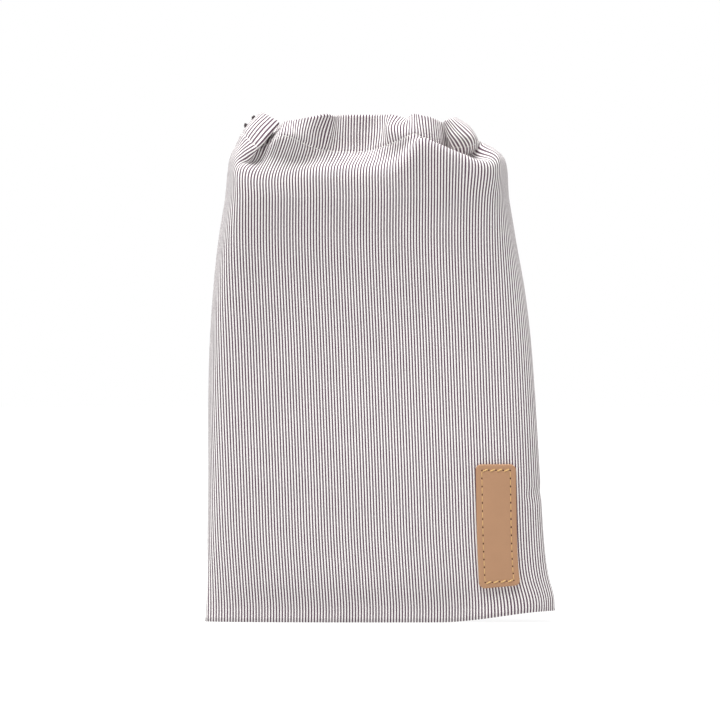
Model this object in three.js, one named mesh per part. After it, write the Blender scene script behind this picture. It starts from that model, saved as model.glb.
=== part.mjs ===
// Drawstring pouch for a phone, sewn of fine striped cotton, standing on its flat base.
// Millimetres, +Z up, front towards -Y, origin at the middle of the base.
// The cloth is one ring round the pouch: r runs along it from the left side seam over the front to
// the right side seam and back over the rear, and v runs up the cloth from the base to the rim.
import * as THREE from "three";
import { mergeVertices } from "three/addons/utils/BufferGeometryUtils.js";

// Cloth
const PANEL_WIDTH = 133;
const RING = 2 * PANEL_WIDTH;
const CLOTH = 1;
const HEM = 1.2;
const SEAM_GAP = 0.3;
const SEAM_TURN = 0.27;
const PIECE_GAP = 0.3;

// Cloth heights: straight wall up to the shoulder, then over its crest to the stitch line and rim
const WALL_V = 146;
const SHOULDER_V = 158;
const CREST_V = 170;
const DIP_V = 177;
const STITCH_V = 185;
const CASING_V = 192;
const RIM_V = 199;

// The base's right end is pulled up a little, so the sewn edge lifts there
const LIFT_FROM_X = 22;
const LIFT_TO_X = 66;
const LIFT = 4;
const LIFT_FADE = 30;

// Body: a row for each level, with its outline and how square its left and right corners are
const LEVEL_COLUMNS = ["z", "left", "right", "cornerLeft", "cornerRight"];
const LEVELS = [
  [0, -64.7, 64.8, 2, 2],
  [5, -64.5, 64.7, 2.2, 2.2],
  [14, -64.0, 63.3, 3, 2.8],
  [31, -63.9, 61.5, 5, 4],
  [50, -63.6, 60.3, 8, 5],
  [87, -63.5, 58.0, 12, 6],
  [106, -62.9, 56.5, 14, 6],
  [124, -61.7, 54.3, 16, 6],
  [143, -59.7, 50.9, 16, 7],
  [158, -57.3, 48.4, 16, 8],
];

// Mouth: a row for each fold or flat of the gathered cloth. r is its place along the ring, crestZ and
// crestIn the shoulder's height and lean, sag the hollow from there to the stitch line, puff how far
// the casing swells between the stitch line and the rim
const MOUTH_COLUMNS = [
  "r", "crestZ", "crestIn", "sag", "stitchX", "stitchY", "stitchZ", "rimX", "rimY", "rimZ", "puff",
];
const MOUTH = [
  // Left ear, from the side seam over its outer fold to its lower edge
  [0, 174, 2, 0, -50.6, 0.2, 182.4, -43.2, 2.4, 190.3, 0.5],
  [5, 174, 2, 0, -50.3, -4.8, 182.1, -42.8, -2.4, 190.1, 0.5],
  [9, 174, 2, 0, -49.3, -8.4, 181.0, -41.6, -6.0, 189.3, 0.5],
  [13, 172.6, 1.6, -0.4, -47.6, -11.8, 179.3, -39.6, -9.0, 188.0, 0.5],
  [16.4, 170.8, 1.2, -0.8, -45.3, -12.8, 176.9, -37.2, -10.2, 186.4, 0.2],
  // Fold tucked in under the ear's edge
  [18.4, 170.6, 1, 0.6, -44.4, -11.0, 176.5, -37.4, -8.4, 185.6, 0],
  [20.6, 170.4, 1, 1.4, -45.0, -8.6, 177.4, -38.9, -5.8, 185.2, 0],
  [22.5, 170.2, 0.9, 1.2, -43.6, -6.4, 177.6, -39.7, -3.7, 185.0, 0],
  [24.6, 170, 0.8, 0.9, -41.2, -6.2, 178.4, -38.8, -2.3, 185.1, 0],
  [27.5, 168.6, 0.8, 0.9, -38.6, -8.2, 180.5, -36.6, -3.6, 185.4, 0],
  [30, 167.8, 0.8, 1.3, -36.4, -10.4, 181.2, -35.0, -6.4, 186.0, 0],
  // Front casing, leaning over on the left as far as a small pleat, then upright up to its lip
  [32.5, 167.3, 0.8, 1.8, -34.1, -12.6, 180.9, -33.2, -9.2, 186.4, 0],
  [37.4, 167.2, 0.8, 2.2, -30.5, -15.0, 179.5, -29.0, -12.6, 188.0, -0.4],
  [42.3, 167.6, 0.8, 1.9, -26.6, -14.6, 177.8, -24.0, -14.6, 189.8, -0.7],
  [47, 168.3, 0.8, 1, -22.4, -11.8, 176.4, -19.0, -12.8, 190.5, -0.8],
  [49.6, 168.6, 0.8, 0.5, -20.0, -10.2, 176.0, -17.0, -9.0, 189.2, 0.5],
  [52.4, 168.5, 0.8, 0.2, -17.2, -9.4, 175.7, -15.6, -7.4, 189.4, 0.2],
  [56, 168.5, 0.8, 0, -13.5, -8.4, 175.5, -12.8, -7.0, 189.6, 0],
  [68.3, 168.5, 0.8, 0, -1.3, -8.6, 176.4, -0.6, -6.8, 189.6, -0.5],
  [71.5, 168.6, 0.8, 0.6, 1.5, -11.8, 177.2, 2.2, -7.8, 189.6, -0.3],
  [74.8, 168.8, 0.8, 1, 4.3, -14.0, 178.2, 5.4, -9.6, 189.4, 1.9],
  [78.2, 169.6, 0.7, 1.2, 7.2, -15.8, 179.4, 9.0, -11.0, 188.2, 2.2],
  [80.6, 171, 0.5, 1, 9.2, -16.6, 180.3, 10.6, -11.4, 187.7, 1.6],
  [82.6, 173, 0.2, 0.6, 10.9, -16.8, 181.1, 11.5, -10.4, 188.6, 0.6],
  [84.6, 175.6, -0.2, 0.3, 12.7, -16.4, 181.8, 12.7, -9.2, 189.7, 0],
  // Ridge that runs down to the right shoulder, with the casing sunk behind it
  [86.6, 178.4, -0.5, 0.1, 14.8, -15.0, 181.3, 14.0, -7.6, 189.7, 0],
  [88.8, 179.6, -0.7, 0.5, 17.0, -13.2, 179.6, 16.4, -6.8, 189.2, 0],
  [91.6, 178.4, -0.8, 1.0, 19.8, -11.0, 177.2, 19.2, -6.0, 188.8, 0],
  [95, 177, -0.7, 1.2, 22.8, -9.0, 175.2, 21.6, -5.4, 187.8, 0],
  // Pinch and valley, folded in under the edge of the right ear
  [98.4, 175.5, -0.5, 1.6, 24.8, -7.0, 174.4, 23.2, -5.2, 187.0, 0],
  [100.6, 174.6, -0.1, 2, 26.4, -4.6, 174.5, 24.8, -3.2, 186.6, 0],
  [102.6, 173.8, 0.1, 2, 28.2, -5.2, 175.0, 26.0, -3.8, 186.4, 0],
  // Right ear, gathered at the pinch, from its lower edge over its outer fold to the side seam
  [104, 173.2, 0.2, 2.2, 28.7, -8.4, 176.0, 25.7, -5.8, 186.4, 0],
  [105.4, 172.7, 0.3, 2.8, 28.6, -11.4, 176.9, 25.0, -7.8, 186.6, 0.3],
  [107.4, 172.1, 0.4, 3.4, 30.6, -13.8, 176.5, 25.0, -9.4, 187.0, 0.8],
  [110.4, 171.5, 0.5, 3.2, 33.4, -14.6, 176.5, 25.8, -10.8, 187.5, 1.2],
  [113, 171.2, 0.6, 2.2, 35.2, -14.0, 177.3, 26.7, -10.6, 187.9, 1.5],
  [115, 171.7, 0.7, 1, 36.3, -12.4, 178.5, 27.4, -9.2, 188.2, 1.6],
  [117, 172.8, 0.8, 0, 36.8, -10.4, 179.7, 27.8, -7.4, 188.5, 1.4],
  [121, 173.2, 1.2, -0.8, 36.9, -5.2, 179.8, 27.9, -4.4, 188.6, 1.2],
  [127, 173.4, 1.6, -0.6, 36.4, -0.6, 179.8, 28.7, -0.8, 188.6, 1.2],
  [133, 173, 2, -0.4, 35.8, 3.6, 179.6, 29.4, 2.6, 188.4, 1.2],
  // Rear of the right ear and its valley
  [140, 170, 2, 0, 34.8, 6.4, 178.8, 29.6, 6.4, 187.4, 1],
  [145, 169.6, 2, 0, 32.4, 7.4, 178.0, 27.8, 7.2, 186.8, 0.3],
  [152, 169, 2, 0.3, 27.6, 5.6, 177.6, 24.6, 5.4, 186.4, 0],
  // Rear casing
  [162, 168.5, 2, 0.5, 20.4, 7.6, 177.4, 20.0, 7.8, 187.6, 0],
  [180, 168.5, 2, 0, 7.0, 8.8, 176.8, 6.6, 9.0, 188.8, 0],
  [201, 168.5, 2, 0, -10.4, 8.8, 176.8, -10.4, 9.0, 189.0, 0],
  [222, 168.5, 2, 0.5, -27.6, 8.0, 177.6, -27.0, 8.0, 187.8, 0],
  // Rear of the left ear and its valley
  [236, 169, 2, 0.5, -38.2, 5.4, 178.2, -36.6, 5.4, 186.0, 0],
  [244, 170, 2, 0, -43.4, 6.4, 178.4, -39.8, 8.4, 186.0, 0.3],
  [252, 171.5, 2, 0, -47.6, 6.6, 179.8, -42.6, 9.6, 187.2, 0.5],
  [260, 173, 2, 0, -50.6, 4.8, 182.0, -44.6, 8.2, 189.0, 0.5],
];

// Mesh steps along the cloth and up it
const FRONT_STEP = 2.3;
const BACK_STEP = 4.2;
const BASE_STEPS = 3;
const WALL_ROWS = [0, 6, 16, 32, 52, 74, 98, 122, 142, 158];
const MOUTH_STEPS = [3, 3, 4, 2, 3];
const SECTION_STEPS = 400;
const DEEPEST = 45;
const DEPTH_TOLERANCE = 1e-6;
const JOIN_TOLERANCE = 1e-3;

// Short steps over which directions along and out of the cloth are taken
const RING_STEP = 0.5;
const NORMAL_STEP = 0.25;

// Leather label, sewn almost along the stripes
const LABEL_R = 111.9;
const LABEL_V = 35.7;
const LABEL_LEAN = 0.8;
const LABEL_WIDTH = 14.9;
const LABEL_HEIGHT = 46.9;
const LABEL_CORNER = 1.9;
const LABEL_THICK = 1.4;
const LABEL_COLUMNS = 8;
const LABEL_ROWS = 12;
const LABEL_CORNER_STEPS = 4;

// End of the drawstring, a short bend of cord round the back of the left ear
const CORD_RADIUS = 0.8;
const CORD_GAP = 0.5;
const CORD_TOP_V = 194.8;
const CORD_BOTTOM_V = 189.2;
const CORD_TIP_R = RING - 5;
const CORD_BEND_R = RING - 12.5;
const CORD_POINTS = 12;
const CORD_SIDES = 5;
const CORD_STEPS = 16;

// Colours and how rough they are
const COTTON = { color: 0xbeb7ba, roughness: 0.85 };
const LEATHER = { color: 0xbb906f, roughness: 0.6 };
const CORD = { color: 0x4a3f45, roughness: 0.8 };

// Smooth curve through values at knots
function smooth(knots, values) {
  const last = knots.length - 1;
  const slope = (i) => (values[i + 1] - values[i]) / (knots[i + 1] - knots[i]);
  const tangent = (i) => {
    if (i === 0 || i === last) {
      return slope(i === 0 ? 0 : last - 1);
    }
    const before = knots[i] - knots[i - 1];
    const after = knots[i + 1] - knots[i];
    return (slope(i - 1) * after + slope(i) * before) / (before + after);
  };
  const tangents = values.map((_, i) => tangent(i));
  return (at) => {
    let i = 0;
    while (i < last - 1 && at > knots[i + 1]) {
      i += 1;
    }
    const span = knots[i + 1] - knots[i];
    const q = (at - knots[i]) / span;
    const rise = q * q * (3 - 2 * q);
    const leave = q * (1 - q) * (1 - q) * span;
    const arrive = q * q * (q - 1) * span;
    return values[i] + (values[i + 1] - values[i]) * rise + tangents[i] * leave + tangents[i + 1] * arrive;
  };
}

// Smooth curve for each named column of a table, against its first column
function tableCurves(columns, rows) {
  const knots = rows.map((row) => row[0]);
  const curves = {};
  for (const [i, column] of columns.entries()) {
    curves[column] = smooth(knots, rows.map((row) => row[i]));
  }
  return curves;
}

// The mouth is a ring, so its rows carry on past both ends
function ringRows(rows) {
  const shifted = (by) => rows.map((row) => [row[0] + by, ...row.slice(1)]);
  return [...shifted(-RING), ...rows, ...shifted(RING)];
}

const level = tableCurves(LEVEL_COLUMNS, LEVELS);
const mouth = tableCurves(MOUTH_COLUMNS, ringRows(MOUTH));

// Half section of the body from seam to seam, as deep as the cloth's width allows
function makeSection(z) {
  const middle = (level.left(z) + level.right(z)) / 2;
  const half = (level.right(z) - level.left(z)) / 2;
  const corners = [level.cornerLeft(z), level.cornerRight(z)];
  const outline = (depth) => {
    const points = [];
    let length = 0;
    for (let i = 0; i <= SECTION_STEPS; i += 1) {
      const across = Math.sin((i / SECTION_STEPS - 0.5) * Math.PI);
      const corner = across < 0 ? corners[0] : corners[1];
      const x = middle + half * across;
      const y = depth * Math.sqrt(Math.max(0, 1 - Math.abs(across) ** corner));
      const before = points.at(-1);
      length += before ? Math.hypot(x - before.x, y - before.y) : 0;
      points.push({ x, y, length });
    }
    return points;
  };
  let low = 0;
  let high = DEEPEST;
  while (high - low > DEPTH_TOLERANCE) {
    const depth = (low + high) / 2;
    if (outline(depth).at(-1).length < PANEL_WIDTH) {
      low = depth;
    } else {
      high = depth;
    }
  }
  return outline(low);
}

const sections = new Map();

// Point of the body's wall at a height, without the base's lift
function wallPoint(r, z) {
  if (!sections.has(z)) {
    sections.set(z, makeSection(z));
  }
  const points = sections.get(z);
  const ring = (r + RING) % RING;
  const front = ring <= PANEL_WIDTH;
  const along = ((front ? ring : RING - ring) / PANEL_WIDTH) * points.at(-1).length;
  let i = points.findIndex((point) => point.length >= along);
  i = Math.max(1, i);
  const a = points[i - 1];
  const b = points[i];
  const q = (along - a.length) / (b.length - a.length);
  const y = a.y + (b.y - a.y) * q;
  return new THREE.Vector3(a.x + (b.x - a.x) * q, front ? -y : y, z);
}

// How far the base's edge is lifted at a place across
function lift(x) {
  return LIFT * THREE.MathUtils.smoothstep(x, LIFT_FROM_X, LIFT_TO_X);
}

function stitchPoint(r) {
  return new THREE.Vector3(mouth.stitchX(r), mouth.stitchY(r), mouth.stitchZ(r));
}

function stitchAlong(r) {
  return stitchPoint(r + RING_STEP).sub(stitchPoint(r - RING_STEP));
}

// Points that one stripe of cloth passes on its way from the wall over the shoulder to the rim
function mouthColumn(r) {
  const shoulder = wallPoint(r, SHOULDER_V);
  const along = wallPoint(r + RING_STEP, SHOULDER_V).sub(wallPoint(r - RING_STEP, SHOULDER_V));
  const inward = new THREE.Vector3(-along.y, along.x, 0).normalize();
  const crest = shoulder.clone().addScaledVector(inward, mouth.crestIn(r)).setZ(mouth.crestZ(r));
  const stitch = stitchPoint(r);
  const rim = new THREE.Vector3(mouth.rimX(r), mouth.rimY(r), mouth.rimZ(r));
  const rise = stitch.clone().sub(crest);
  const sink = inward.clone().multiplyScalar(rise.z).setZ(-rise.dot(inward)).normalize();
  const dip = crest.clone().lerp(stitch, 0.5).addScaledVector(sink, mouth.sag(r));
  const swell = stitchAlong(r).cross(rim.clone().sub(stitch)).normalize();
  const casing = stitch.clone().lerp(rim, 0.5).addScaledVector(swell, mouth.puff(r));
  return [wallPoint(r, WALL_V), shoulder, crest, dip, stitch, casing, rim];
}

const MOUTH_KNOTS = [WALL_V, SHOULDER_V, CREST_V, DIP_V, STITCH_V, CASING_V, RIM_V];
const columnCurves = new Map();

// Smooth curves of a stripe above the shoulder, with its knots spaced by distance
function mouthCurves(r) {
  if (!columnCurves.has(r)) {
    const points = mouthColumn(r);
    const knots = [0];
    for (let i = 1; i < points.length; i += 1) {
      knots.push(knots[i - 1] + Math.sqrt(points[i].distanceTo(points[i - 1])));
    }
    const axes = ["x", "y", "z"].map((axis) => smooth(knots, points.map((point) => point[axis])));
    columnCurves.set(r, { knots, axes });
  }
  return columnCurves.get(r);
}

// Middle of the cloth's thickness
function surface(r, v) {
  if (v <= SHOULDER_V) {
    const point = wallPoint(r, v);
    point.z += lift(point.x) * (1 - THREE.MathUtils.smoothstep(v, 0, LIFT_FADE));
    return point;
  }
  const { knots, axes } = mouthCurves(r);
  let i = 1;
  while (i < MOUTH_KNOTS.length - 2 && v > MOUTH_KNOTS[i + 1]) {
    i += 1;
  }
  const q = (v - MOUTH_KNOTS[i]) / (MOUTH_KNOTS[i + 1] - MOUTH_KNOTS[i]);
  const at = knots[i] + (knots[i + 1] - knots[i]) * q;
  return new THREE.Vector3(...axes.map((axis) => axis(at)));
}

// Direction out of the cloth
function outward(r, v) {
  const above = Math.min(v + NORMAL_STEP, RIM_V);
  const below = Math.max(v - NORMAL_STEP, 0);
  const across = surface(r + NORMAL_STEP, v).sub(surface(r - NORMAL_STEP, v));
  const up = surface(r, above).sub(surface(r, below));
  return across.cross(up).normalize();
}

function raised(r, v, height) {
  return surface(r, v).addScaledVector(outward(r, v), height);
}

function thickness(v) {
  return CLOTH + (HEM - CLOTH) * THREE.MathUtils.smoothstep(v, STITCH_V - 1, STITCH_V + 1);
}

// Closed body between two grids of points that face each other
function shell(face, back) {
  const rows = face.length;
  const columns = face[0].length;
  const points = [...face.flat(), ...back.flat()];
  const at = (row, column) => row * columns + column;
  const behind = rows * columns;
  const triangles = [];
  for (let row = 0; row < rows - 1; row += 1) {
    for (let column = 0; column < columns - 1; column += 1) {
      const a = at(row, column);
      const b = at(row, column + 1);
      const c = at(row + 1, column + 1);
      const d = at(row + 1, column);
      triangles.push([a, b, c], [a, c, d]);
      triangles.push([behind + a, behind + c, behind + b], [behind + a, behind + d, behind + c]);
    }
  }
  const edge = [];
  for (let column = 0; column < columns - 1; column += 1) {
    edge.push(at(0, column));
  }
  for (let row = 0; row < rows - 1; row += 1) {
    edge.push(at(row, columns - 1));
  }
  for (let column = columns - 1; column > 0; column -= 1) {
    edge.push(at(rows - 1, column));
  }
  for (let row = rows - 1; row > 0; row -= 1) {
    edge.push(at(row, 0));
  }
  for (const [i, a] of edge.entries()) {
    const b = edge[(i + 1) % edge.length];
    triangles.push([b, a, behind + a], [b, behind + a, behind + b]);
  }
  return closedGeometry(points, triangles);
}

// Geometry with shared corners joined and triangles without area left out
function closedGeometry(points, triangles) {
  const loose = new THREE.BufferGeometry();
  loose.setFromPoints(points);
  loose.setIndex(triangles.flat());
  const joined = mergeVertices(loose, JOIN_TOLERANCE);
  const index = joined.getIndex().array;
  const kept = [];
  for (let i = 0; i < index.length; i += 3) {
    const [a, b, c] = index.slice(i, i + 3);
    if (a !== b && b !== c && c !== a) {
      kept.push(a, b, c);
    }
  }
  joined.setIndex(kept);
  joined.computeVertexNormals();
  return joined;
}

// Places along the ring between two seams, with each fold's own place among them
function ringSteps(from, to, step) {
  const folds = MOUTH.map((row) => row[0]).filter((r) => r > from + 1 && r < to - 1);
  const stops = [from, ...folds, to];
  const steps = [from];
  for (let i = 1; i < stops.length; i += 1) {
    const count = Math.ceil((stops[i] - stops[i - 1]) / step);
    for (let k = 1; k <= count; k += 1) {
      steps.push(stops[i - 1] + ((stops[i] - stops[i - 1]) * k) / count);
    }
  }
  return steps;
}

function clothRows() {
  const rows = [...WALL_ROWS];
  for (const [i, count] of MOUTH_STEPS.entries()) {
    const from = MOUTH_KNOTS[i + 1];
    const to = MOUTH_KNOTS[i + 2];
    for (let k = 1; k <= count; k += 1) {
      rows.push(from + ((to - from) * k) / count);
    }
  }
  return rows;
}

// Face of the cloth on its outer or inner side: the wall's faces stop at the base and at the seams
function clothFace(r, v, side, panelSide) {
  const half = (side * thickness(v)) / 2;
  const point = raised(r, v, half);
  if (v === 0) {
    const flat = outward(r, v).setZ(0).normalize();
    point.copy(surface(r, v)).addScaledVector(flat, half);
    point.z = baseZ(point.x, side);
  }
  if (v <= SHOULDER_V) {
    point.y = panelSide * Math.max(panelSide * point.y, SEAM_GAP / 2);
  }
  return point;
}

function baseZ(x, side) {
  return lift(x) + (side < 0 ? CLOTH : 0);
}

// One cut of cloth: half of the base from its seam outwards, then the wall, mouth and casing
function panel(from, to, step, panelSide) {
  const places = ringSteps(from, to, step);
  const seamY = (panelSide * SEAM_GAP) / 2;
  const grid = (side) => {
    const edge = places.map((r) => clothFace(r, 0, side, panelSide));
    const base = [];
    for (let k = 0; k < BASE_STEPS; k += 1) {
      const row = edge.map((point, i) => {
        const corner = i === 0 || i === edge.length - 1;
        const y = corner ? point.y : THREE.MathUtils.lerp(seamY, point.y, k / BASE_STEPS);
        return new THREE.Vector3(point.x, y, point.z);
      });
      base.push(row);
    }
    return [...base, ...clothRows().map((v) => places.map((r) => clothFace(r, v, side, panelSide)))];
  };
  return shell(grid(1), grid(-1));
}

// Leather patch with round corners, lying on the front cloth
function label() {
  const straight = LABEL_HEIGHT / 2 - LABEL_CORNER;
  const half = LABEL_WIDTH / 2;
  const ends = [];
  for (let k = 0; k <= LABEL_CORNER_STEPS; k += 1) {
    const turn = (k / LABEL_CORNER_STEPS) * (Math.PI / 2);
    const up = straight + LABEL_CORNER * Math.cos(turn);
    ends.push({ up, half: half - LABEL_CORNER + LABEL_CORNER * Math.sin(turn) });
  }
  const rows = ends.map((end) => ({ up: -end.up, half: end.half }));
  for (let k = 1; k < LABEL_ROWS; k += 1) {
    rows.push({ up: straight * ((2 * k) / LABEL_ROWS - 1), half });
  }
  rows.push(...ends.reverse());
  const grid = (height) => rows.map((row) => {
    const points = [];
    for (let k = 0; k <= LABEL_COLUMNS; k += 1) {
      const across = row.half * ((2 * k) / LABEL_COLUMNS - 1);
      const lean = (LABEL_LEAN * row.up) / LABEL_HEIGHT;
      points.push(raised(LABEL_R + across + lean, LABEL_V + row.up, height));
    }
    return points;
  });
  const under = CLOTH / 2 + PIECE_GAP;
  return shell(grid(under + LABEL_THICK), grid(under));
}

// Bend of cord whose two tips show past the ear's outer face
function drawstringEnd() {
  const clear = HEM / 2 + CORD_GAP + CORD_RADIUS;
  const middle = (CORD_TOP_V + CORD_BOTTOM_V) / 2;
  const reach = (CORD_TOP_V - CORD_BOTTOM_V) / 2;
  const points = [];
  for (let k = 0; k <= CORD_POINTS; k += 1) {
    const turn = (k / CORD_POINTS) * Math.PI;
    const r = CORD_TIP_R + (CORD_BEND_R - CORD_TIP_R) * Math.sin(turn);
    points.push(raised(r, middle + reach * Math.cos(turn), clear));
  }
  const section = new THREE.Shape();
  section.absarc(0, 0, CORD_RADIUS, 0, 2 * Math.PI);
  return new THREE.ExtrudeGeometry(section, {
    extrudePath: new THREE.CatmullRomCurve3(points),
    steps: CORD_STEPS,
    curveSegments: CORD_SIDES,
    bevelEnabled: false,
  });
}

function piece(name, geometry, finish) {
  const material = new THREE.MeshStandardMaterial({ ...finish, metalness: 0 });
  const mesh = new THREE.Mesh(geometry, material);
  mesh.name = name;
  return mesh;
}

// Each panel stops short of its side seams, so that their gap stays open where the mouth is gathered
const pouch = new THREE.Group();
pouch.add(
  piece("front_panel", panel(SEAM_TURN, PANEL_WIDTH - SEAM_TURN, FRONT_STEP, -1), COTTON),
  piece("back_panel", panel(PANEL_WIDTH + SEAM_TURN, RING - SEAM_TURN, BACK_STEP, 1), COTTON),
  piece("leather_label", label(), LEATHER),
  piece("drawstring_end", drawstringEnd(), CORD),
);

export default pouch;
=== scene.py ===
import math
from functools import lru_cache

import bpy
import numpy as np
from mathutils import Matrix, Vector


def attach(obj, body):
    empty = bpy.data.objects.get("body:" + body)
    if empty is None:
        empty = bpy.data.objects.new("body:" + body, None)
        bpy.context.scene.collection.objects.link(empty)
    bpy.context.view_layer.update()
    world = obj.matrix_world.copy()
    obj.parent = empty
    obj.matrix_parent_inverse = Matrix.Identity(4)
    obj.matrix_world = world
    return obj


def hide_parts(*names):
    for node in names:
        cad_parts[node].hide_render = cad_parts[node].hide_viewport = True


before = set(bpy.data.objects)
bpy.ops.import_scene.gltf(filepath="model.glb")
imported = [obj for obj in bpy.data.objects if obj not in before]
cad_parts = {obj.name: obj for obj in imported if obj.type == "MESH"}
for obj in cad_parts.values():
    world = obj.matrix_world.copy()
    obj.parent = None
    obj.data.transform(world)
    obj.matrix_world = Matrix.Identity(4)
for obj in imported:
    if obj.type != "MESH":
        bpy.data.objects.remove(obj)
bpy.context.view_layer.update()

MM = 0.001

# Cloth: its outer face lies where the solids' does, but the sheet is thinner
PANEL_WIDTH = 133
RING = 2 * PANEL_WIDTH
CLOTH_FACE = 0.5
CLOTH_THICK = 0.55
SEAM_GAP = 0.3

# Cloth heights: straight wall up to the shoulder, then over its crest to the stitch line and rim
WALL_V = 146
SHOULDER_V = 158
CREST_V = 170
DIP_V = 177
STITCH_V = 185
CASING_V = 192
RIM_V = 199
MOUTH_KNOTS = np.array([WALL_V, SHOULDER_V, CREST_V, DIP_V, STITCH_V, CASING_V, RIM_V])

# The rim is the casing's fold: the cloth turns over it and comes down inside to its hem
HEM_DEPTH = 16.5
HEM_ROLL = 0.85

# The base's right end is pulled up a little, so the sewn edge lifts there
LIFT = 4
LIFT_FROM_X = 22
LIFT_TO_X = 66
LIFT_FADE = 30

# Body: a row for each level, with its outline and how square its left and right corners are
LEVEL_COLUMNS = ("z", "left", "right", "corner_left", "corner_right")
LEVELS = np.array([
    (0, -64.7, 64.8, 2, 2),
    (5, -64.5, 64.7, 2.2, 2.2),
    (14, -64.0, 63.3, 3, 2.8),
    (31, -63.9, 61.5, 5, 4),
    (50, -63.6, 60.3, 8, 5),
    (87, -63.5, 58.0, 12, 6),
    (106, -62.9, 56.5, 14, 6),
    (124, -61.7, 54.3, 16, 6),
    (143, -59.7, 50.9, 16, 7),
    (158, -57.3, 48.4, 16, 8),
])

# Half sections of the body: their steps, and the search for how deep each one is
SECTION_STEPS = 400
DEEPEST = 45
HALVINGS = 40

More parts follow.
